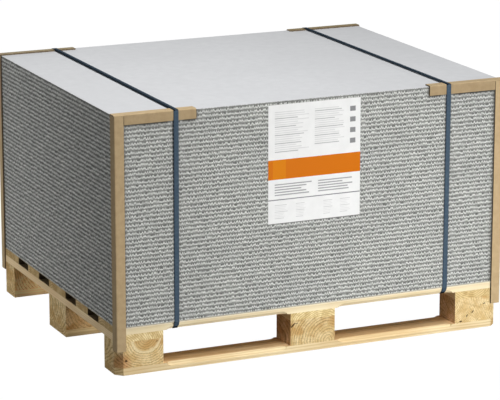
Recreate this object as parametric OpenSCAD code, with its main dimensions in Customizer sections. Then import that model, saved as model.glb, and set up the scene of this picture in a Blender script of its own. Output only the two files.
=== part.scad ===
// Palletised stack of cement boards: board stack, edge protection, strapping and a block pallet.
// X runs along the boards' length, Y from the front to the rear, Z up from the floor.
// The origin is on the floor below the middle of the load.

/* [Boards] */
// Length of a board
board_l = 1250; // [900:10:1500]
// Width of a board
board_w = 1000; // [700:10:1200]
// Height that each board takes in the stack
board_t = 12.5; // [8:0.5:25]
// Number of boards in the stack
board_n = 50; // [4:1:70]
// Air between one board and the next
board_gap = 0.1; // [0.05:0.05:0.5]

/* [Pallet] */
// Length of the pallet
pallet_l = 1250; // [900:10:1500]
// Depth of the pallet, from front to rear
pallet_w = 990; // [760:10:1200]
// Width of the three wide deck boards
deck_wide_w = 145; // [100:5:160]
// Width of the two narrow deck boards
deck_narrow_w = 100; // [60:5:120]
// Thickness of the deck boards
deck_t = 22; // [15:1:30]
// Width of the stringer boards under the deck
stringer_w = 145; // [100:5:170]
// Thickness of the stringer boards
stringer_t = 22; // [15:1:30]
// Length of the blocks along X
block_l = 145; // [95:5:180]
// Height of the blocks
block_h = 78; // [60:1:100]
// Depth of the front and rear rows of blocks and of the bottom board under each
outer_row_w = 100; // [75:5:145]
// Depth of the middle row of blocks and of its bottom board
middle_row_w = 145; // [90:5:160]
// Thickness of the bottom boards
bottom_t = 22; // [15:1:30]
// Length that is cut off each side of the pallet's upright corners
corner_cut = 20; // [5:1:40]

/* [Fork entry chamfers] */
// Height and depth of the chamfers milled between the blocks
chamfer = 11; // [4:1:14]
// Radius of the milling cutter, which leaves the curved run-outs
cutter_r = 30; // [20:1:60]
// Distance from a block to the end of the run-out
chamfer_end = 10; // [2:1:30]

/* [Edge protection] */
// Length of the upright corner guards
corner_guard_l = 694; // [300:2:900]
// Outer width of a guard's leg
guard_leg = 30; // [20:1:50]
// Thickness of the guards
guard_t = 4; // [2:0.5:5]
// Radius of the guards' outer edge
guard_r = 4; // [2:0.5:8]
// Air between an edge guard's upright leg and the corner guard beside it
guard_gap = 1.5; // [0.2:0.1:5]
// Length of an edge guard beyond the middle of its strap
edge_guard_past = 63; // [20:1:150]

/* [Straps and label] */
// Width of the straps
strap_w = 15.5; // [9:0.5:25]
// Thickness of the straps
strap_t = 1; // [0.5:0.1:1.5]
// Distance from the outer blocks to a strap
strap_gap = 33; // [15:1:120]
// Width of the label
label_w = 298; // [100:1:400]
// Height of the label
label_h = 355; // [60:1:400]
// Thickness of the label
label_t = 0.3; // [0.2:0.1:1]
// Distance from the top of the stack to the label
label_drop = 10; // [5:1:60]

/* [Hidden] */
$fn = 64;
bottom_z = 0;
block_z = bottom_z + bottom_t;
stringer_z = block_z + block_h;
deck_z = stringer_z + stringer_t;
stack_z = deck_z + deck_t;
stack_top = stack_z + board_n * board_t;

// Middles of the outer blocks, stringers and rows, and the room between neighbouring deck boards
column_x = (pallet_l - block_l) / 2;
stringer_x = (pallet_l - stringer_w) / 2;
row_y = (pallet_w - outer_row_w) / 2;
deck_gap = (pallet_w - 3 * deck_wide_w - 2 * deck_narrow_w) / 4;
inner_deck_y = deck_wide_w / 2 + deck_gap + deck_narrow_w / 2;
outer_deck_y = (pallet_w - deck_wide_w) / 2;

// Depth of the chamfers measured square to their face, and how far the cutter's round end reaches
chamfer_d = chamfer / sqrt(2);
run_out = sqrt(2 * cutter_r * chamfer_d - chamfer_d * chamfer_d);

// A corner guard runs down past a pallet that it clears, and stands on a pallet that sticks out
pallet_sticks_out = pallet_l > board_l || pallet_w > board_w;
corner_guard_z = pallet_sticks_out
    ? max(stack_z, stack_top - corner_guard_l)
    : stack_top - corner_guard_l;

strap_x = pallet_l / 2 - block_l - strap_gap - strap_w / 2;

// Ends of an edge guard, and of its upright leg beside the corner guard
edge_guard_x0 = strap_x - edge_guard_past;
edge_guard_x1 = board_l / 2 + guard_t;
upright_leg_x1 = edge_guard_x1 - guard_leg - guard_gap;

BOARD = "#a3a5a3";
WOOD = "#d8b88a";
GUARD = "#b39b78";
STRAP = "#2a3f58";
PAPER = "#f2f2ee";

// ---- Boards ----

module cement_boards() {
    color(BOARD)
        for (i = [0 : board_n - 1])
            translate([-board_l / 2, -board_w / 2, stack_z + i * board_t + (i > 0 ? board_gap : 0)])
                cube([board_l, board_w, i > 0 ? board_t - board_gap : board_t]);
}

// ---- Pallet ----

// The pallet from above, with its four corners cut off
module pallet_outline() {
    x = pallet_l / 2;
    y = pallet_w / 2;
    c = corner_cut;
    polygon([
        [-x + c, -y], [x - c, -y], [x, -y + c], [x, y - c],
        [x - c, y], [-x + c, y], [-x, y - c], [-x, -y + c]
    ]);
}

// A piece of sawn wood, centred on [x, y] and cut to the pallet's outline
module timber(x, y, length, width) {
    intersection() {
        translate([x - length / 2, y - width / 2])
            square([length, width]);
        pallet_outline();
    }
}

// What a disc cutter takes off an edge that runs along X from x0 to x1. The edge is at the
// origin, with the wood behind it (+Y) and below it (-Z).
module edge_cutter(x0, x1) {
    translate([0, chamfer / 2, -chamfer / 2])
        rotate([45, 0, 0]) {
            translate([x0 + run_out, -chamfer, 0])
                cube([x1 - x0 - 2 * run_out, 2 * chamfer, cutter_r]);
            for (x = [x0 + run_out, x1 - run_out])
                translate([x, chamfer, cutter_r])
                    rotate([90, 0, 0])
                        cylinder(h = 2 * chamfer, r = cutter_r);
        }
}

// The cutter in both openings between the blocks, at a board's front upper edge
module entry_cutters() {
    x0 = block_l / 2 + chamfer_end;
    x1 = column_x - block_l / 2 - chamfer_end;
    edge_cutter(x0, x1);
    edge_cutter(-x1, -x0);
}

// Deck board across the pallet. entry is -1 or 1 where its lower front or rear edge is milled.
module deck_board(y, width, entry = 0) {
    color(WOOD)
        translate([0, 0, deck_z])
            difference() {
                linear_extrude(deck_t)
                    timber(0, y, pallet_l, width);
                if (entry != 0)
                    translate([0, entry * pallet_w / 2, 0])
                        mirror([0, entry > 0 ? 1 : 0, 0])
                            mirror([0, 0, 1])
                                entry_cutters();
            }
}

module stringer(x) {
    color(WOOD)
        translate([0, 0, stringer_z])
            linear_extrude(stringer_t)
                timber(x, 0, stringer_w, pallet_w);
}

module block(x, y, depth) {
    color(WOOD)
        translate([0, 0, block_z])
            linear_extrude(block_h)
                timber(x, y, block_l, depth);
}

// Bottom board, with both upper edges milled for pallet-truck wheels
module bottom_board(y, width) {
    color(WOOD)
        translate([0, 0, bottom_z])
            difference() {
                linear_extrude(bottom_t)
                    timber(0, y, pallet_l, width);
                translate([0, y - width / 2, bottom_t])
                    entry_cutters();
                translate([0, y + width / 2, bottom_t])
                    mirror([0, 1, 0])
                        entry_cutters();
            }
}

// ---- Edge protection ----

// Section of a guard: an angle with its inner corner at the origin and its legs along +X and +Y
module angle_section() {
    translate([-guard_t, -guard_t])
        difference() {
            square(guard_leg);
            translate([guard_t, guard_t])
                square(guard_leg);
            difference() {
                square(guard_r);
                translate([guard_r, guard_r])
                    circle(r = guard_r);
            }
        }
}

// Upright guard on a corner of the stack. sx and sy are -1 or 1: left or right, front or rear.
module corner_guard(sx, sy) {
    color(GUARD)
        translate([sx * board_l / 2, sy * board_w / 2, corner_guard_z])
            mirror([sx > 0 ? 1 : 0, 0, 0])
                mirror([0, sy > 0 ? 1 : 0, 0])
                    linear_extrude(stack_top - corner_guard_z)
                        angle_section();
}

// Guard along the top edge of the stack, from past the strap to the stack's side. Its flat leg
// covers the top end of the corner guard, and its upright leg is cut away beside it.
module edge_guard(sx, sy) {
    color(GUARD)
        mirror([sx < 0 ? 1 : 0, 0, 0])
            mirror([0, sy > 0 ? 1 : 0, 0])
                difference() {
                    translate([edge_guard_x0, -board_w / 2, stack_top])
                        rotate([90, 0, 90])
                            linear_extrude(edge_guard_x1 - edge_guard_x0)
                                mirror([0, 1])
                                    angle_section();
                    translate([upright_leg_x1, -board_w / 2 - 2 * guard_t, stack_top - 2 * guard_leg])
                        cube([2 * guard_leg, 3 * guard_t, 2 * guard_leg]);
                }
}

// ---- Strapping ----

// Twice the area of the triangle a, b, c: above 0 for a left turn
function turn(a, b, c) = cross(b - a, c - b);
function all_but_last(list) = [for (i = [0 : 1 : len(list) - 2]) list[i]];

// The points that a taut band round the list still touches, in the list's own order
function taut(points, kept = [], i = 0) =
    i == len(points) ? kept
    : len(kept) > 1 && turn(kept[len(kept) - 2], kept[len(kept) - 1], points[i]) <= 0
        ? taut(points, all_but_last(kept), i)
        : taut(points, concat(kept, [points[i]]), i + 1);

function edge_normal(a, b) = [b[1] - a[1], a[0] - b[0]] / norm(b - a);

// The same closed outline, moved outwards by t
function moved_out(points, t) = [
    for (i = [0 : len(points) - 1])
        let (
            n = len(points),
            before = edge_normal(points[(i + n - 1) % n], points[i]),
            after = edge_normal(points[i], points[(i + 1) % n])
        )
        points[i] + t * (before + after) / (1 + before * after)
];

// What the front half of a strap passes, from the top down, as [y, z]: the guard's round edge,
// with the band's bends just outside it, the guard's lower end, the edge of the load and the
// milled lower edge of the deck
bends = 6;
guard_edge = [-board_w / 2 - guard_t + guard_r, stack_top + guard_t - guard_r];
front_run = concat(
    [
        for (i = [0 : bends - 1])
            let (a = 90 + (i + 0.5) * 90 / bends)
            guard_edge + guard_r / cos(45 / bends) * [cos(a), sin(a)]
    ],
    [
        [-board_w / 2 - guard_t, stack_top + guard_t - guard_leg],
        [-max(board_w, pallet_w) / 2, stack_z],
        [-pallet_w / 2, deck_z + chamfer],
        [-pallet_w / 2 + chamfer, deck_z]
    ]
);
front_taut = taut(front_run);
rear_taut = [for (i = [len(front_taut) - 1 : -1 : 0]) [-front_taut[i][0], front_taut[i][1]]];
strap_inside = concat(front_taut, rear_taut);

// Band round the stack and under the deck boards, centred on x
module strap(x) {
    color(STRAP)
        translate([x - strap_w / 2, 0, 0])
            rotate([90, 0, 90])
                linear_extrude(strap_w)
                    difference() {
                        polygon(moved_out(strap_inside, strap_t));
                        polygon(strap_inside);
                    }
}

// ---- Label ----

module label() {
    color(PAPER)
        translate([-label_w / 2, -board_w / 2 - label_t, stack_top - label_drop - label_h])
            cube([label_w, label_t, label_h]);
}

cement_boards();
deck_board(-outer_deck_y, deck_wide_w, -1);  // deck_board_front
deck_board(-inner_deck_y, deck_narrow_w);  // deck_board_inner_front
deck_board(0, deck_wide_w);  // deck_board_middle
deck_board(inner_deck_y, deck_narrow_w);  // deck_board_inner_rear
deck_board(outer_deck_y, deck_wide_w, 1);  // deck_board_rear
stringer(-stringer_x);  // stringer_left
stringer(0);  // stringer_middle
stringer(stringer_x);  // stringer_right
block(-column_x, -row_y, outer_row_w);  // block_front_left
block(0, -row_y, outer_row_w);  // block_front_middle
block(column_x, -row_y, outer_row_w);  // block_front_right
block(-column_x, 0, middle_row_w);  // block_middle_left
block(0, 0, middle_row_w);  // block_centre
block(column_x, 0, middle_row_w);  // block_middle_right
block(-column_x, row_y, outer_row_w);  // block_rear_left
block(0, row_y, outer_row_w);  // block_rear_middle
block(column_x, row_y, outer_row_w);  // block_rear_right
bottom_board(-row_y, outer_row_w);  // bottom_board_front
bottom_board(0, middle_row_w);  // bottom_board_middle
bottom_board(row_y, outer_row_w);  // bottom_board_rear
corner_guard(-1, -1);  // corner_guard_front_left
corner_guard(1, -1);  // corner_guard_front_right
corner_guard(-1, 1);  // corner_guard_rear_left
corner_guard(1, 1);  // corner_guard_rear_right
edge_guard(-1, -1);  // edge_guard_front_left
edge_guard(1, -1);  // edge_guard_front_right
edge_guard(-1, 1);  // edge_guard_rear_left
edge_guard(1, 1);  // edge_guard_rear_right
strap(-strap_x);  // strap_left
strap(strap_x);  // strap_right
label();
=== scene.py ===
import math

import bpy
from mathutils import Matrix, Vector


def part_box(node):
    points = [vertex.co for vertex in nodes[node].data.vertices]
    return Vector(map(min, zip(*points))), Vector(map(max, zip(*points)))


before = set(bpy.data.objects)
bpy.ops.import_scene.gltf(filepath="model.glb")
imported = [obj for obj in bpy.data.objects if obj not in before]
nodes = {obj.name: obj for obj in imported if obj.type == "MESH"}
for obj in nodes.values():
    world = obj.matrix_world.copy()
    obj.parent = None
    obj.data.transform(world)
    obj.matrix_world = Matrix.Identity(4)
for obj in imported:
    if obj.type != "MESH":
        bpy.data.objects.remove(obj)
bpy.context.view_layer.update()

# ---- Sizes taken from the frame ----

STACK_LO, STACK_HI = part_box("cement_boards")
BOARD_COUNT = 50
BOARD_T = (STACK_HI.z - STACK_LO.z) / BOARD_COUNT
LABEL_LO, LABEL_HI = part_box("label")
STRAPS = ("strap_left", "strap_right")

# A tint multiplies a colour, and this one leaves it as it is
PLAIN = (1.0, 1.0, 1.0)


def middle(name):
    """The middle of a CAD node's box."""
    lo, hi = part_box(name)
    return (lo + hi) / 2


def dress(name, material):
    """Gives a CAD node this material, in place of its own."""
    slots = nodes[name].data.materials
    slots.clear()
    slots.append(material)


def grey(value):
    return (value, value, value)


def toned(color, tone):
    """A colour made lighter or darker."""
    return tuple(tone * channel for channel in color)


# ---- Node graph helper ----

class Graph:
    """A material's node tree, built by small calls that return sockets."""

    def __init__(self, name):
        self.material = bpy.data.materials.new(name)
        self.material.use_nodes = True
        self.tree = self.material.node_tree
        self.tree.nodes.clear()
        self.coords = self.new("ShaderNodeTexCoord").outputs["Object"]

    def new(self, kind, **settings):
        node = self.tree.nodes.new(kind)
        for key, value in settings.items():
            setattr(node, key, value)
        return node

    def put(self, socket, value):
        """Links a socket to another one, or gives it a value. None leaves it alone."""
        if isinstance(value, bpy.types.NodeSocket):
            self.tree.links.new(value, socket)
        elif value is not None:
            socket.default_value = value

    def math(self, operation, a, b=None, c=None, clamp=False):
        node = self.new("ShaderNodeMath", operation=operation, use_clamp=clamp)
        for socket, value in zip(node.inputs, (a, b, c)):
            self.put(socket, value)
        return node.outputs[0]

    def plus(self, a, b):
        return self.math("ADD", a, b)

    def minus(self, a, b):
        return self.math("SUBTRACT", a, b)

    def times(self, a, b):
        return self.math("MULTIPLY", a, b)

    def over(self, a, b):
        return self.math("DIVIDE", a, b)

    def apart(self, a, b):
        return self.math("ABSOLUTE", self.minus(a, b))

    def sway(self, value, noise, width):
        """A value moved up and down by a noise that lies round 0.5."""
        return self.math("MULTIPLY_ADD", self.minus(noise, 0.5), width, value)

    def vector(self, operation, a, b=None):
        node = self.new("ShaderNodeVectorMath", operation=operation)
        self.put(node.inputs[0], a)
        self.put(node.inputs[1], b)
        return node.outputs["Value" if operation in ("LENGTH", "DISTANCE") else "Vector"]

    def split(self, vector):
        node = self.new("ShaderNodeSeparateXYZ")
        self.put(node.inputs[0], vector)
        return node.outputs

    def join(self, x, y, z):
        node = self.new("ShaderNodeCombineXYZ")
        for socket, value in zip(node.inputs, (x, y, z)):
            self.put(socket, value)
        return node.outputs[0]

    def normal(self):
        """The three parts of the surface's direction."""
        return self.split(self.new("ShaderNodeNewGeometry").outputs["Normal"])

    def either_way(self, part, limit=0.5):
        """1 where the surface faces along an axis, either way: part is that part of its
        direction."""
        return self.math("GREATER_THAN", self.math("ABSOLUTE", part), limit)

    def noise(self, vector, scale=1.0, detail=2.0, roughness=0.5):
        node = self.new("ShaderNodeTexNoise")
        self.put(node.inputs["Vector"], vector)
        for key, value in (("Scale", scale), ("Detail", detail), ("Roughness", roughness)):
            self.put(node.inputs[key], value)
        return node.outputs["Fac"]

    def chance(self, number):
        """One random number for each whole number."""
        node = self.new("ShaderNodeTexWhiteNoise", noise_dimensions="1D")
        self.put(node.inputs["W"], number)
        return node.outputs["Value"]

    def mosaic(self, place, scale, output):
        """A mosaic of cells: the Distance from each one's middle, or three random numbers
        for each as its Color."""
        node = self.new("ShaderNodeTexVoronoi")
        self.put(node.inputs["Vector"], place)
        self.put(node.inputs["Scale"], scale)
        return node.outputs[output]

    def ramp(self, value, stops):
        node = self.new("ShaderNodeValToRGB")
        points = node.color_ramp.elements
        while len(points) < len(stops):
            points.new(0.5)
        for point, (position, color) in zip(points, stops):
            point.position = position
            point.color = (*color, 1.0)
        self.put(node.inputs["Fac"], value)
        return node.outputs["Color"]

    def span(self, value, low, high, to_low=0.0, to_high=1.0):
        """A smooth step from to_low to to_high, as the value goes from low to high."""
        node = self.new("ShaderNodeMapRange", interpolation_type="SMOOTHSTEP")
        for key, number in (("Value", value), ("From Min", low), ("From Max", high),
                            ("To Min", to_low), ("To Max", to_high)):
            self.put(node.inputs[key], number)
        return node.outputs["Result"]

    def mix(self, factor, a, b, blend="MIX"):
        node = self.new("ShaderNodeMix", data_type="RGBA", blend_type=blend)
        self.put(node.inputs["Factor"], factor)
        for socket, value in ((node.inputs[6], a), (node.inputs[7], b)):
            self.put(socket, (*value, 1.0) if isinstance(value, tuple) else value)
        return node.outputs[2]

    def tint(self, factor, color, tint):
        """Multiplies a colour by a tint, as far as the factor says."""
        return self.mix(factor, color, self.mix(1.0, color, tint, "MULTIPLY"))

    def surface(self, color, roughness, specular, height, strength, distance):
        """The finished material. The last three are its bump's."""
        bump = self.new("ShaderNodeBump")
        for key, value in (("Height", height), ("Strength", strength), ("Distance", distance)):
            self.put(bump.inputs[key], value)
        shader = self.new("ShaderNodeBsdfPrincipled")
        for key, value in (("Base Color", color), ("Roughness", roughness),
                           ("Specular IOR Level", specular), ("Normal", bump.outputs["Normal"])):
            self.put(shader.inputs[key], value)
        output = self.new("ShaderNodeOutputMaterial")
        self.tree.links.new(shader.outputs[0], output.inputs["Surface"])
        return self.material


# ---- Cement boards ----

BAND_DROP = 0.3         # how much lower the bands start, as a share of a board
NOTCH_RATE = 660.0      # radians to a metre, for a notch every 9 mm or so
ROW_STEP = 3.7          # moves each row to a part of the noise of its own
CONTACT_SHADE_REACH = 0.014      # how far from what presses on the edges the painted contact shade can reach
PALE_BAND = ((0.54, 0.55, 0.516), (0.78, 0.79, 0.753))
DARK_STRIP = ((0.182, 0.185, 0.173), (0.335, 0.341, 0.32))
STRIP_CRUMB = (0.10, 0.102, 0.095)
STRIP_PIT = (0.055, 0.056, 0.051)
# Painted contact shade on the cut edges
CONTACT_SHADE_COLOR = (0.065, 0.056, 0.044)
FOOT_LINE_COLOR = (0.44, 0.35, 0.20)
FACE_MOTTLE = ((0.30, (0.585, 0.592, 0.605)), (0.55, (0.615, 0.622, 0.635)),
               (0.8, (0.64, 0.646, 0.66)))
FACE_CLOUD = (0.565, 0.572, 0.585)
FACE_SPECK = (0.45, 0.455, 0.465)


def cut_edges(g, x, y, z, flank):
    """The colour, pale bands and crumbs of the boards' cut edges. Each board has a pale band,
    and below the next board's band a darker strip, and both are notched."""
    run = g.plus(x, y)
    layer = g.plus(g.over(g.minus(z, STACK_LO.z), BOARD_T), BAND_DROP)
    row = g.times(g.math("FLOOR", layer), ROW_STEP)
    phase = g.math("FRACT", layer)
    ragged = g.noise(g.join(g.times(run, 150.0), g.plus(phase, row), 0.0),
                     detail=3.0, roughness=0.7)
    wander = g.noise(g.join(g.times(run, 70.0), row, 4.0), detail=3.0, roughness=0.7)
    notch = g.math("SINE", g.math("MULTIPLY_ADD", run, NOTCH_RATE, g.times(wander, 26.0)))
    low = g.sway(g.math("MULTIPLY_ADD", notch, 0.175, 0.30), ragged, 0.5)
    high = g.sway(g.math("MULTIPLY_ADD", notch, 0.195, 0.70), ragged, 0.7)
    band = g.times(g.span(g.minus(phase, low), -0.07, 0.07),
                   g.span(g.minus(phase, high), 0.09, -0.09))

    crumb = g.split(g.mosaic(g.join(run, z, 0.0), 270.0, "Color"))
    pit = g.mosaic(g.join(g.times(run, 80.0), g.plus(layer, 0.5), 0.0), 1.0, "Distance")
    dark = g.mix(g.span(notch, -0.8, 0.8), *DARK_STRIP)
    dark = g.mix(g.times(crumb[1], 0.3), dark, STRIP_CRUMB)
    dark = g.mix(g.times(g.span(pit, 0.24, 0.12), 0.45), dark, STRIP_PIT)
    dark = g.tint(flank, dark, grey(0.80))
    color = g.mix(band, dark, g.mix(crumb[0], *PALE_BAND))
    cloud = g.ramp(g.noise(g.coords, 11.0, 3.0, 0.6), [(0.3, (0.92, 0.92, 0.93)), (0.7, PLAIN)])
    color = g.mix(1.0, color, cloud, "MULTIPLY")

    # The left and right sides have larger crumbs as well
    clump = g.noise(g.join(g.times(run, 38.0), g.times(layer, 1.3), 8.0), roughness=0.6)
    clump = g.ramp(clump, [(0.3, grey(0.82)), (0.5, grey(1.10)), (0.7, grey(1.36))])
    return g.tint(flank, color, clump), band, crumb[2]


def cement_board():
    """Pale faces and banded cut edges, with painted contact shade where something presses on
    them.
    """
    g = Graph("cement_board")
    x, y, z = g.split(g.coords)
    normal = g.normal()
    edge, band, crumb = cut_edges(g, x, y, z, g.either_way(normal[0]))

    # Painted contact shade darkens the cut edges where a guard or the pallet presses on them:
    # least of all at the front left corner guard, which lies tightest, and hardly at all beside
    # a strap
    near = g.new("ShaderNodeAmbientOcclusion", samples=6)
    near.inputs["Distance"].default_value = CONTACT_SHADE_REACH
    from_corner = g.vector("DISTANCE", g.join(x, y, 0.0), (STACK_LO.x, STACK_LO.y, 0.0))
    loose = g.span(from_corner, 0.05, 0.07)
    open_sky = g.math("MULTIPLY_ADD", loose, 0.02, 0.93)
    shut_in = g.math("MULTIPLY_ADD", loose, 0.12, 0.68)
    contact_shade = g.span(near.outputs["AO"], open_sky, shut_in, 0.0, 0.94)
    for strap in STRAPS:
        off_strap = g.apart(x, middle(strap)[0])
        contact_shade = g.times(contact_shade, g.span(off_strap, 0.018, 0.028, 0.25, 1.0))
    edge = g.mix(contact_shade, edge, CONTACT_SHADE_COLOR)

    # A brown line along the foot of the stack
    foot = g.span(z, STACK_LO.z + 0.0035, STACK_LO.z + 0.0015, 0.0, 0.6)
    edge = g.mix(foot, edge, FOOT_LINE_COLOR)

    # Faces: smooth and pale, with faint clouds and specks
    cloud = g.noise(g.coords, 3.2, 3.0, 0.55)
    speck = g.noise(g.coords, 700.0, 1.0)
    flat = g.ramp(g.noise(g.coords, 34.0, 5.0, 0.62), FACE_MOTTLE)
    flat = g.mix(g.span(cloud, 0.35, 0.7, 0.0, 0.4), flat, FACE_CLOUD)
    flat = g.mix(g.span(speck, 0.62, 0.75, 0.0, 0.2), flat, FACE_SPECK)

    face = g.either_way(normal[2])
    height = g.math("MULTIPLY_ADD", band, 0.5, g.times(crumb, 0.3))
    height = g.times(height, g.math("MULTIPLY_ADD", face, -0.94, 1.0))
    return g.surface(g.mix(face, edge, flat), roughness=0.9, specular=0.2, height=height,
                     strength=0.5, distance=0.0015)


# ---- Sawn wood ----

BLOCK_WOOD = ((0.99, 0.80, 0.45), (0.80, 0.57, 0.255))
BLOCK_DULL = (0.64, 0.36, 0.115)
BLOCK_RAY = (0.55, 0.35, 0.13)
BLOCK_PALE_RING = (1.0, 0.86, 0.54)
BLOCK_LATE = (0.30, 0.165, 0.045)
BLOCK_GRIT = (0.33, 0.19, 0.06)
BLOCK_MARK = (0.07, 0.034, 0.012)
STAIN_AND_SHADOW_TINT = (0.70, 0.46, 0.36)

PLANK_WOOD = ((0.81, 0.60, 0.31), (0.93, 0.76, 0.45))
PLANK_LATE = (0.58, 0.36, 0.14)
PLANK_STREAK = (0.55, 0.34, 0.13)
PLANK_FIBRE = (0.42, 0.25, 0.09)
PLANK_KNOT = (0.24, 0.115, 0.04)
ARRIS_HIGHLIGHT = (0.97, 0.88, 0.70)
TOP_SHADE_TINT = (0.92, 0.80, 0.72)
GAP_SHADE_TINT = (0.26, 0.24, 0.22)

END_WOOD = ((0.85, 0.65, 0.34), (0.62, 0.42, 0.18))
END_LATE = (0.40, 0.23, 0.07)
END_PORE = (0.36, 0.21, 0.07)


def shift(g, place, seed, step=(3.1, 1.7, 2.3)):
    """Moves each piece to a part of the noise of its own."""
    return g.vector("ADD", place, tuple(seed * part for part in step))


def from_pith(g, u, v, pith):
    """How far a point lies from the pith line: across it, above it and in all."""
    du = g.minus(u, pith[0])
    dv = g.minus(v, pith[1])
    return du, dv, g.math("SQRT", g.math("MULTIPLY_ADD", du, du, g.times(dv, dv)))


def late_wood(g, turns):
    """How dark each growth ring is: it rises slowly over the year and ends at a sharp edge."""
    stops = ((0.0, 0.1), (0.12, 0.0), (0.5, 0.1), (0.86, 1.0), (0.95, 0.9), (1.0, 0.1))
    return g.ramp(g.math("FRACT", turns), [(place, grey(value)) for place, value in stops])


def mark(g, x, z, jitter, x0, z0, x1, z1, half):
    """A dot or check from one place to another, with this half width and a ragged edge."""
    dx, dz = x1 - x0, z1 - z0
    length2 = dx * dx + dz * dz
    px = g.minus(x, x0)
    pz = g.minus(z, z0)
    if length2 > 0.0:
        share = g.math("MULTIPLY_ADD", px, dx / length2, g.times(pz, dz / length2), clamp=True)
        px = g.math("MULTIPLY_ADD", share, -dx, px)
        pz = g.math("MULTIPLY_ADD", share, -dz, pz)
    away = g.sway(g.vector("LENGTH", g.join(px, 0.0, pz)), jitter, 1.4 * half)
    return g.span(away, half, 0.4 * half)


def end_grain(name, pith, lean, ring, tone, seed, marks=(), pale=None, front=PLAIN,
              flank=PLAIN, stain_and_shadow=None):
    """A sawn block: rings round a pith line that leans, so that every side shows arcs. Each
    mark is a dark dot or check on the front, from one place to another, and its half width.
    A pale ring is given by its radius and half its width, a stain with painted shadow by its
    middle and radius.
    The front and the left flank can have tints of their own, which are painted light and
    shade: a reddish bounce light on a shaded flank, and a front lit more or less in the fork
    openings."""
    g = Graph("wood_" + name)
    place = g.vector("SUBTRACT", g.coords, tuple(middle(name)))
    x, y, z = g.split(place)
    seeded = shift(g, place, seed)
    drift = g.noise(seeded, 14.0)
    jitter = g.noise(seeded, 95.0, 3.0, 0.65)

    depth = g.plus(y, 0.05)
    du, dv, radius = from_pith(g, g.math("MULTIPLY_ADD", depth, lean, x),
                               g.math("MULTIPLY_ADD", depth, 0.6 * lean, z), pith)
    radius = g.sway(g.sway(radius, drift, 0.018), jitter, 0.0055)
    turns = g.over(radius, ring)
    angle = g.math("ARCTAN2", dv, du)

    # Some years are darker than others, and no ring is dark all the way round
    dash = g.noise(g.join(g.times(angle, 13.0), g.times(turns, 1.1), seed))
    year = g.chance(g.plus(g.math("FLOOR", turns), seed))
    late = g.times(late_wood(g, turns), g.math("MULTIPLY_ADD", year, 0.5, 0.5))
    late = g.times(late, g.span(dash, 0.34, 0.60, 0.45, 1.0))

    ray = g.noise(g.join(g.times(angle, 34.0), g.times(radius, 9.0), seed))
    blotch = g.noise(seeded, 34.0, 4.0, 0.7)
    grit = g.noise(seeded, 330.0, 3.0, 0.7)
    dull = g.noise(g.vector("ADD", seeded, (7.0, 1.0, 5.0)), 17.0, 2.0, 0.6)
    light, dark = BLOCK_WOOD
    color = g.mix(g.span(blotch, 0.35, 0.62), toned(light, tone), toned(dark, tone))
    color = g.mix(g.span(dull, 0.52, 0.66, 0.0, 0.65), color, toned(BLOCK_DULL, tone))
    color = g.mix(g.span(ray, 0.53, 0.70, 0.0, 0.4), color, toned(BLOCK_RAY, tone))
    if pale:
        pale_radius, half = pale
        off_ring = g.apart(radius, pale_radius)
        color = g.mix(g.span(off_ring, half, 0.4 * half, 0.0, 0.6), color,
                      toned(BLOCK_PALE_RING, tone))
        late = g.times(late, g.span(off_ring, 0.4 * half, half, 0.25, 1.0))
    color = g.mix(g.times(late, 0.85), color, toned(BLOCK_LATE, tone))
    color = g.mix(g.span(grit, 0.50, 0.68, 0.0, 0.6), color, toned(BLOCK_GRIT, tone))
    # A stain, which on the front left block also paints the shadow under the corner guard
    if stain_and_shadow:
        stain_shadow_middle, stain_shadow_radius = stain_and_shadow
        away = g.vector("LENGTH", g.vector("SUBTRACT", place, stain_shadow_middle))
        away = g.sway(away, drift, 0.04)
        color = g.tint(g.span(away, stain_shadow_radius, 0.4 * stain_shadow_radius, 0.0, 0.75), color,
                       STAIN_AND_SHADOW_TINT)
    height = g.math("MULTIPLY_ADD", late, 0.5, g.times(grit, 0.6))

    if marks:
        marked = 0.0
        for ends in marks:
            marked = g.math("MAXIMUM", marked, mark(g, x, z, jitter, *ends))
        marked = g.times(marked, g.span(y, -0.02, -0.03))
        color = g.mix(marked, color, BLOCK_MARK)
        height = g.math("MULTIPLY_ADD", marked, -2.0, height)

    normal = g.normal()
    # Painted light and shade: the front and left flank tints stand for how these faces are lit
    for part, tint in ((normal[1], front), (normal[0], flank)):
        if tint != PLAIN:
            color = g.tint(g.math("LESS_THAN", part, -0.5), color, tint)
    return g.surface(color, roughness=0.8, specular=0.15, height=height, strength=0.4,
                     distance=0.001)


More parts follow.
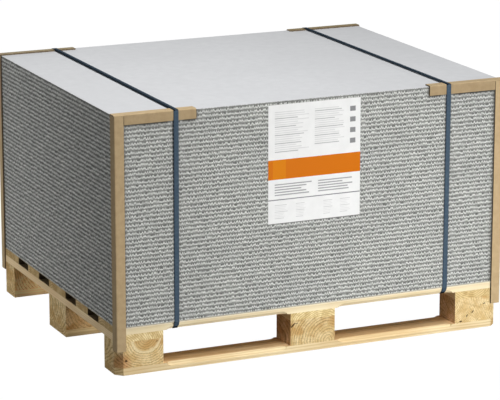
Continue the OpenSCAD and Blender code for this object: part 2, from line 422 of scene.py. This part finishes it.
def long_grain(name, grain, pith, ring, seed, tone, pale, side_tint=PLAIN, end_tint=PLAIN,
               top_shade_tone=1.0, figure=1.0, arris=None, shut=None):
    """A sawn board: rings round a pith line along its length, X or Y, with streaks and knots.
    The rings and streaks are as strong as figure, and the share pale lightens the colour. Its
    long sides, sawn ends and upper face have tones of their own: the upper face's tone and the
    bottom boards' side tints are painted light and shade. A painted highlight makes the long
    sides paler above the height arris. Painted shade darkens the sides shut in between boards:
    shut is 1 for the rear side, -1 for the front side and 0 for both."""
    g = Graph("wood_" + name)
    place = g.vector("SUBTRACT", g.coords, tuple(middle(name)))
    x, y, z = g.split(place)
    normal = g.normal()
    if grain == "X":
        along, across, facing_end, facing_side = x, y, normal[0], normal[1]
    else:
        along, across, facing_end, facing_side = y, x, normal[1], normal[0]
    slow = shift(g, g.join(g.times(along, 0.10), across, z), seed)
    drift = g.noise(slow, 9.0, 3.0, 0.55)
    jitter = g.noise(g.vector("MULTIPLY", slow, (4.0, 1.0, 1.0)), 60.0)

    # Knots: cells, stretched a little along the grain, which push the rings aside
    knot_place = g.join(g.times(along, 0.55), across, g.times(z, 0.6))
    knot = g.mosaic(shift(g, knot_place, seed, (5.3, 0.9, 4.1)), 5.2, "Distance")
    pull = g.span(knot, 0.24, 0.0, 0.0, 0.016)

    radius = from_pith(g, across, z, pith)[2]
    radius = g.sway(g.sway(radius, drift, 0.024), jitter, 0.003)
    late = late_wood(g, g.over(g.plus(radius, pull), ring))
    fibre = g.noise(g.join(g.times(along, 7.0), g.times(across, 380.0), g.times(z, 380.0)),
                    detail=4.0, roughness=0.6)
    streak = g.noise(g.join(g.times(along, 2.2), g.times(across, 90.0), g.times(z, 90.0)),
                     detail=3.0, roughness=0.6)
    wide = g.noise(g.vector("MULTIPLY", slow, (8.0, 1.0, 1.0)), 7.0)

    def shade(color):
        return tuple(tone * (channel + share * (1.0 - channel))
                     for channel, share in zip(color, (pale, pale, 0.7 * pale)))

    dark, light = PLANK_WOOD
    color = g.mix(g.span(wide, 0.32, 0.68), shade(dark), shade(light))
    color = g.mix(g.times(late, 0.55 * figure), color, shade(PLANK_LATE))
    color = g.mix(g.span(streak, 0.45, 0.75, 0.0, 0.5 * figure), color, shade(PLANK_STREAK))
    color = g.mix(g.span(fibre, 0.5, 0.8, 0.0, 0.4 * figure), color, shade(PLANK_FIBRE))
    color = g.mix(g.span(knot, 0.085, 0.05, 0.0, 0.8), color, toned(PLANK_KNOT, tone))
    # Painted light and shade on the upper faces: a warmer tint, darker or lighter as each piece
    # is lit
    above = g.math("GREATER_THAN", normal[2], 0.9)
    color = g.tint(above, color, toned(TOP_SHADE_TINT, top_shade_tone))
    side = g.either_way(facing_side, 0.9)
    color = g.tint(side, color, side_tint)
    # Painted highlight along the upper edge of the long sides
    if arris is not None:
        edge = g.times(side, g.span(z, arris - 0.0015, arris + 0.0005))
        color = g.mix(g.times(edge, 0.7), color, ARRIS_HIGHLIGHT)
    # Painted shade on the sides shut in between boards
    if shut is not None:
        inward = g.times(facing_side, shut) if shut else g.math("ABSOLUTE", facing_side)
        color = g.tint(g.math("GREATER_THAN", inward, 0.5), color, GAP_SHADE_TINT)

    # The sawn ends are darker and show pores in place of streaks
    grit = g.noise(g.coords, 360.0, 3.0, 0.7)
    blotch = g.noise(g.coords, 32.0, 3.0, 0.7)
    end = g.mix(g.span(blotch, 0.38, 0.60), *END_WOOD)
    end = g.mix(g.times(late, 0.8), end, END_LATE)
    end = g.mix(g.span(grit, 0.5, 0.72, 0.0, 0.5), end, END_PORE)
    end = g.mix(1.0, end, end_tint, "MULTIPLY")
    color = g.mix(g.either_way(facing_end), color, end)
    height = g.math("MULTIPLY_ADD", late, 0.35, g.times(fibre, 0.8))
    return g.surface(color, roughness=0.72, specular=0.15, height=height, strength=0.35,
                     distance=0.0009)


def dress_pallet():
    # Each deck board's shut sides, darkened by painted shade
    deck_boards = {"deck_board_front": 1, "deck_board_inner_front": 0, "deck_board_middle": 0,
                   "deck_board_inner_rear": 0, "deck_board_rear": -1}
    for i, (name, shut) in enumerate(deck_boards.items()):
        dress(name, long_grain(name, "X", pith=(0.03, -0.055), ring=0.0075, seed=1.3 + i,
                               tone=1.04, pale=0.28, end_tint=grey(0.9), figure=0.4,
                               arris=0.0075, shut=shut))

    # Each stringer's pith and the tint of its ends
    stringers = {"stringer_left": ((-0.09, -0.07), (1.22, 1.34, 1.47)),
                 "stringer_middle": ((0.03, -0.07), (1.15, 1.27, 1.34)),
                 "stringer_right": ((-0.02, 0.05), (1.02, 1.05, 1.02))}
    for i, (name, (pith, tint)) in enumerate(stringers.items()):
        dress(name, long_grain(name, "Y", pith, ring=0.006, seed=7.2 + i, tone=1.08, pale=0.15,
                               side_tint=(1.04, 0.995, 0.99), end_tint=tint, top_shade_tone=0.5,
                               figure=0.8))

    # Each bottom board's tint of its long sides, painted light and shade on the middle and rear
    # boards for how their sides are lit in the fork openings
    bottom_boards = {"bottom_board_front": grey(0.92),
                     "bottom_board_middle": (1.0, 0.93, 0.80),
                     "bottom_board_rear": (1.5, 1.36, 1.2)}
    for i, (name, tint) in enumerate(bottom_boards.items()):
        dress(name, long_grain(name, "X", pith=(-0.02, 0.05), ring=0.008, seed=11.4 + i,
                               tone=1.03, pale=0.08, side_tint=tint, top_shade_tone=1.2))

    # Each block's pith, lean, ring width and tone, then what sets it apart from the others
    # Painted bounce light: a reddish tint on the shaded left flanks
    painted_bounce_flank = (0.98, 0.82, 0.88)
    blocks = {
        "block_front_left": ((0.0190, 0.0455), 0.25, 0.0072, 0.96, {
            "marks": ((-0.044, -0.017, -0.044, -0.017, 0.0045),
                      (0.052, 0.030, 0.053, 0.032, 0.0017)),
            "pale": (0.044, 0.0055),
            "stain_and_shadow": ((-0.066, -0.050, -0.028), 0.046)}),
        "block_front_middle": ((0.0495, -0.0354), 0.3, 0.0086, 0.87, {
            "marks": ((-0.070, 0.019, -0.061, 0.028, 0.0030),
                      (-0.061, 0.028, -0.050, 0.029, 0.0011)),
            "flank": painted_bounce_flank}),
        "block_front_right": ((-0.11, 0.05), 0.4, 0.0058, 0.97, {
            "marks": ((0.025, 0.014, 0.030, 0.015, 0.0026),
                      (-0.014, -0.010, -0.009, -0.005, 0.002),
                      (-0.033, -0.020, -0.029, -0.015, 0.002),
                      (-0.056, -0.035, -0.049, -0.034, 0.0024)),
            "flank": painted_bounce_flank}),
        # Painted shade: a darker, redder front, for how it is lit in the fork opening
        "block_middle_left": ((0.04, 0.045), 0.5, 0.0086, 0.98, {"front": (0.86, 0.74, 0.66)}),
        "block_centre": ((-0.03, -0.03), 0.5, 0.0066, 1.0, {}),
        "block_middle_right": ((0.02, 0.05), 0.8, 0.0066, 0.97, {"pale": (0.04, 0.005)}),
        # Painted light: a lighter front, for how it is lit in the fork opening
        "block_rear_left": ((0.07, 0.04), 0.5, 0.0086, 1.02, {"front": (1.33, 1.2, 1.07)}),
        "block_rear_middle": ((0.01, 0.03), 0.4, 0.0068, 0.95, {"pale": (0.05, 0.006)}),
        "block_rear_right": ((0.04, -0.02), 0.6, 0.0064, 1.0, {}),
    }
    for i, (name, (pith, lean, ring, tone, special)) in enumerate(blocks.items()):
        dress(name, end_grain(name, pith, lean, ring, tone, seed=20.5 + i, **special))


# ---- Edge protection ----

GUARD_BOARD = ((0.51, 0.37, 0.203), (0.57, 0.42, 0.238))
GUARD_FIBRE = (0.41, 0.29, 0.153)
GUARD_BARE_CUT = (0.33, 0.24, 0.145)
FRONT_PLIES_AND_SHADE, REAR_PLIES = (0.035, 0.026, 0.016), (0.20, 0.145, 0.09)
FRONT_TOP_LIGHT_TINT, REAR_TOP_TINT = (1.17, 1.19, 1.23), (0.52, 0.55, 0.53)

# The front guards are darker than the others
GUARD_TONES = {
    "corner_guard_front_left": 0.88,
    "corner_guard_front_right": 0.96,
    "edge_guard_front_left": 0.79,
    "edge_guard_front_right": 0.73,
}


def fibreboard(name):
    """Grey-brown laminated board: plain outer faces, and cut edges that show darker plies,
    which on the front guards are darkened further as painted shade. Outer faces that look up
    are lighter, as painted light, or darker on the rear guards. Cut edges that look up or
    outwards are paler than the rest, as they carry no painted shade."""
    g = Graph(name)
    tone = GUARD_TONES.get(name, 1.0)
    at_rear = "rear" in name
    x_middle, y_middle, _ = middle(name)
    mottle = g.noise(g.coords, 60.0, 4.0, 0.6)
    fibre = g.noise(g.vector("MULTIPLY", g.coords, (420.0, 420.0, 140.0)), 1.0, 3.0, 0.6)
    dark, light = GUARD_BOARD
    color = g.mix(g.span(mottle, 0.3, 0.7), toned(dark, tone), toned(light, tone))
    color = g.mix(g.span(fibre, 0.5, 0.75, 0.0, 0.35), color, toned(GUARD_FIBRE, tone))

    normal = g.normal()
    # Painted light: upward faces of the front guards are lighter; those of the rear guards are
    # darker
    above = g.math("GREATER_THAN", normal[2], 0.6)
    color = g.tint(above, color, REAR_TOP_TINT if at_rear else FRONT_TOP_LIGHT_TINT)

    # A corner guard's outer faces look left or right and to the front or rear, and an edge
    # guard's look up and to the front or rear
    ahead = g.times(normal[1], 1.0 if y_middle > 0.0 else -1.0)
    outward = g.times(normal[0], 1.0 if x_middle > 0.0 else -1.0)
    other = outward if name.startswith("corner") else normal[2]
    cut = g.math("LESS_THAN", g.math("MAXIMUM", ahead, other), 0.3)
    # Painted shade: the front guards' near-black plies stand for the shadow line beside their
    # cut edges; cut edges that look up or outwards keep a paler colour without it
    plies = toned(REAR_PLIES if at_rear else FRONT_PLIES_AND_SHADE, tone)
    bare_cut = g.math("GREATER_THAN", g.math("MAXIMUM", normal[2], outward), 0.6)
    color = g.mix(cut, color, g.mix(bare_cut, plies, toned(GUARD_BARE_CUT, tone)))
    return g.surface(color, roughness=0.8, specular=0.2, height=fibre, strength=0.2,
                     distance=0.0005)


# ---- Straps ----

RIB_PITCH = 0.0031
UNDER_RUN_HEIGHT = 0.007    # above a strap's lowest point
STRAP_BLUE = ((0.0595, 0.0912, 0.129), (0.083, 0.121, 0.160))
STRAP_LEFT_EDGE_SHADE = (0.03, 0.04, 0.055)
STRAP_TOP_SHADE = (0.038, 0.054, 0.073)
STRAP_DEEP_SHADE = (0.0083, 0.013, 0.018)


def strapping(name):
    """Embossed dark blue band, with painted shade along its left edge. Where it lies flat on the
    load it is darker, as painted shade, most of all in its left part, and its run under the deck
    boards is dark all over, as painted shade."""
    g = Graph(name)
    box_lo, box_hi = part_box(name)
    x, _, z = g.split(g.coords)
    across = g.over(g.minus(x, box_lo[0]), box_hi[0] - box_lo[0])
    normal = g.normal()
    flat = g.math("GREATER_THAN", normal[2], 0.4)
    under = g.times(g.math("LESS_THAN", normal[2], -0.5),
                    g.math("LESS_THAN", z, box_lo[2] + UNDER_RUN_HEIGHT))
    scuff = g.noise(g.coords, 180.0, 3.0, 0.6)
    color = g.mix(g.span(scuff, 0.4, 0.75), *STRAP_BLUE)
    # Painted shade along the left edge
    color = g.mix(g.span(across, 0.24, 0.10, 0.0, 0.5), color, STRAP_LEFT_EDGE_SHADE)
    # Painted shade: the top run is darker, and darker still in its left part
    shaded_strip = g.span(across, 0.42, 0.30)
    color = g.mix(flat, color, g.mix(shaded_strip, STRAP_TOP_SHADE, STRAP_DEEP_SHADE))
    # Painted shade on the run under the deck boards
    color = g.mix(under, color, STRAP_DEEP_SHADE)
    rib = g.math("SINE", g.times(x, 2.0 * math.pi / RIB_PITCH))
    return g.surface(color, roughness=g.span(scuff, 0.3, 0.7, 0.42, 0.55), specular=0.0,
                     height=rib, strength=0.3, distance=0.0003)


# ---- Label ----

PAPER = ((0.80, 0.80, 0.79), (0.84, 0.84, 0.83))
INK = (0.06, 0.06, 0.07)
ORANGE = (0.625, 0.158, 0.0)
PALE_ORANGE = (0.67, 0.205, 0.0)
ORANGE_FOOT, ORANGE_TOP = 0.372, 0.538


def label_print():
    """White paper with an orange band, and plain bars and squares in place of text and
    symbols. Places on it are shares of its width and height, from its lower left corner."""
    g = Graph("label_print")
    x, _, z = g.split(g.coords)
    u = g.over(g.minus(x, LABEL_LO.x), LABEL_HI.x - LABEL_LO.x)
    v = g.over(g.minus(z, LABEL_LO.z), LABEL_HI.z - LABEL_LO.z)

    def inside(low, value, high):
        return g.times(g.math("GREATER_THAN", value, low), g.math("LESS_THAN", value, high))

    def patch(u0, u1, v0, v1):
        return g.times(inside(u0, u, u1), inside(v0, v, v1))

    def rows(u0, u1, v0, v1, count, share, seed, group=4):
        """Bars of uneven length, one to a row, in place of lines of print. The last row of
        each group is as dark as the ink, and the rest are paler."""
        row = g.times(g.over(g.minus(v, v0), v1 - v0), count)
        number = g.math("FLOOR", row)
        end = g.math("MULTIPLY_ADD", g.chance(g.plus(number, seed)), -0.4 * (u1 - u0), u1)
        bar = g.math("LESS_THAN", g.math("FRACT", row), share)
        dark = g.math("LESS_THAN", g.math("MODULO", number, group), 0.5)
        bar = g.times(g.times(patch(u0, u1, v0, v1), bar),
                      g.math("MULTIPLY_ADD", dark, 0.6, 0.4))
        return g.times(bar, g.math("LESS_THAN", u, end))

    def printed(color, mask, strength):
        return g.mix(g.times(mask, strength), color, INK)

    color = g.mix(g.span(g.noise(g.coords, 30.0, 3.0), 0.3, 0.7), *PAPER)
    color = printed(color, rows(0.07, 0.44, 0.60, 0.95, 20, 0.42, 3.0), 0.50)
    color = printed(color, rows(0.50, 0.84, 0.64, 0.95, 18, 0.42, 31.0), 0.50)
    for low in (0.62, 0.71, 0.80, 0.89):
        color = printed(color, patch(0.885, 0.945, low, low + 0.042), 0.75)
    color = g.mix(patch(0.0, 1.0, ORANGE_FOOT, ORANGE_TOP), color, ORANGE)
    color = g.mix(patch(0.05, 0.19, ORANGE_FOOT, ORANGE_TOP), color, PALE_ORANGE)
    color = printed(color, rows(0.07, 0.48, 0.235, 0.345, 5, 0.46, 52.0, 1), 0.60)
    color = printed(color, rows(0.54, 0.93, 0.235, 0.345, 5, 0.46, 67.0, 1), 0.60)
    color = printed(color, patch(0.0, 1.0, 0.196, 0.204), 0.8)
    for i, (u0, u1) in enumerate([(0.07, 0.22), (0.30, 0.42), (0.60, 0.70), (0.78, 0.90)]):
        color = printed(color, rows(u0, u1, 0.04, 0.165, 9, 0.4, 75.0 + 9 * i), 0.28)
    return g.surface(color, roughness=0.5, specular=0.06, height=g.noise(g.coords, 22.0),
                     strength=0.25, distance=0.002)


# ---- Studio ----

FLOOR_SIZE = 60
FLOOR_COLOR = (0.11, 0.11, 0.11, 1.0)
FLOOR_GLOW, FLOOR_SEEN = 1.05, 0.96         # how bright it shows, and how much of that shows
FILL_COLOR, FILL_STRENGTH = (0.97, 0.985, 1.0, 1.0), 0.035
LENS, SENSOR_WIDTH = 191.6, 36.0            # millimetres
CAMERA_PLACE = (-3.2736, -7.3304, 2.383)
CAMERA_DOWN, CAMERA_RIGHT = 14.23, 24.18    # degrees below the horizon, and right of the Y axis

# Each area light's place, target, size and power
LIGHTS = {
    "key": ((0.5, -2.5, 0.15), (0.4, -0.5, 0.2), (1.0, 0.5), 48),
    "high": ((-0.4, -2.6, 6.0), (-0.1, -0.2, 0.7), (2.2, 2.2), 173),
    "top": ((-0.4, -0.45, 2.9), (-0.3, -0.25, 0.77), (1.0, 1.0), 29.5),
    "rear_left": ((-2.5, 0.95, 0.2), (-0.625, 0.5, 0.3), (1.0, 0.6), 18.6),
    "right": ((3.0, -0.3, 0.9), (0.625, 0.0, 0.3), (1.2, 1.2), 40),
    "rear": ((-0.3, 2.9, 0.9), (0.0, 0.5, 0.3), (1.4, 1.2), 45),
}


def shown_apart(tree, lit, seen, share, output):
    """The camera sees the shader seen, by this share, and all other rays meet the shader lit."""
    path = tree.nodes.new("ShaderNodeLightPath")
    factor = tree.nodes.new("ShaderNodeMath")
    factor.operation = "MULTIPLY"
    factor.inputs[1].default_value = share
    blend = tree.nodes.new("ShaderNodeMixShader")
    for source, socket in ((path.outputs["Is Camera Ray"], factor.inputs[0]),
                           (factor.outputs[0], blend.inputs[0]),
                           (lit.outputs[0], blend.inputs[1]),
                           (seen.outputs[0], blend.inputs[2]),
                           (blend.outputs[0], output.inputs["Surface"])):
        tree.links.new(source, socket)


def clear_tree(owner):
    owner.use_nodes = True
    owner.node_tree.nodes.clear()
    return owner.node_tree


def backdrop():
    """A white world that gives little light of its own."""
    world = bpy.data.worlds.new("studio")
    bpy.context.scene.world = world
    tree = clear_tree(world)
    seen = tree.nodes.new("ShaderNodeBackground")
    seen.inputs["Color"].default_value = (1, 1, 1, 1)
    seen.inputs["Strength"].default_value = 1.0
    fill = tree.nodes.new("ShaderNodeBackground")
    fill.inputs["Color"].default_value = FILL_COLOR
    fill.inputs["Strength"].default_value = FILL_STRENGTH
    shown_apart(tree, fill, seen, 1.0, tree.nodes.new("ShaderNodeOutputWorld"))


def lay_floor():
    """A pale floor that throws little light back at the object."""
    bpy.ops.mesh.primitive_plane_add(size=FLOOR_SIZE, location=(0, 0, 0))
    floor = bpy.context.object
    floor.name = "floor"
    material = bpy.data.materials.new("floor")
    tree = clear_tree(material)
    lit = tree.nodes.new("ShaderNodeBsdfDiffuse")
    lit.inputs["Color"].default_value = FLOOR_COLOR
    glow = tree.nodes.new("ShaderNodeEmission")
    glow.inputs["Strength"].default_value = FLOOR_GLOW
    shown_apart(tree, lit, glow, FLOOR_SEEN, tree.nodes.new("ShaderNodeOutputMaterial"))
    floor.data.materials.append(material)


def area_light(name, place, target, size, power):
    data = bpy.data.lights.new(name, "AREA")
    data.shape = "RECTANGLE"
    data.size, data.size_y = size
    data.energy = power
    lamp = bpy.data.objects.new(name, data)
    lamp.location = place
    lamp.visible_camera = False
    lamp.rotation_euler = (Vector(target) - Vector(place)).to_track_quat("-Z", "Y").to_euler()
    bpy.context.collection.objects.link(lamp)


def camera():
    data = bpy.data.cameras.new("camera")
    data.sensor_width = SENSOR_WIDTH
    data.lens = LENS
    data.clip_end = 100.0
    eye = bpy.data.objects.new("camera", data)
    eye.location = CAMERA_PLACE
    eye.rotation_euler = (math.radians(90 - CAMERA_DOWN), 0.0, math.radians(-CAMERA_RIGHT))
    bpy.context.collection.objects.link(eye)
    bpy.context.scene.camera = eye


# ---- The scene ----

dress("cement_boards", cement_board())
dress_pallet()
for node_name in nodes:
    if "guard" in node_name:
        dress(node_name, fibreboard(node_name))
for node_name in STRAPS:
    dress(node_name, strapping(node_name))
dress("label", label_print())

backdrop()
lay_floor()
for light_name, settings in LIGHTS.items():
    area_light(light_name, *settings)
camera()
bpy.context.scene.view_settings.view_transform = "Standard"
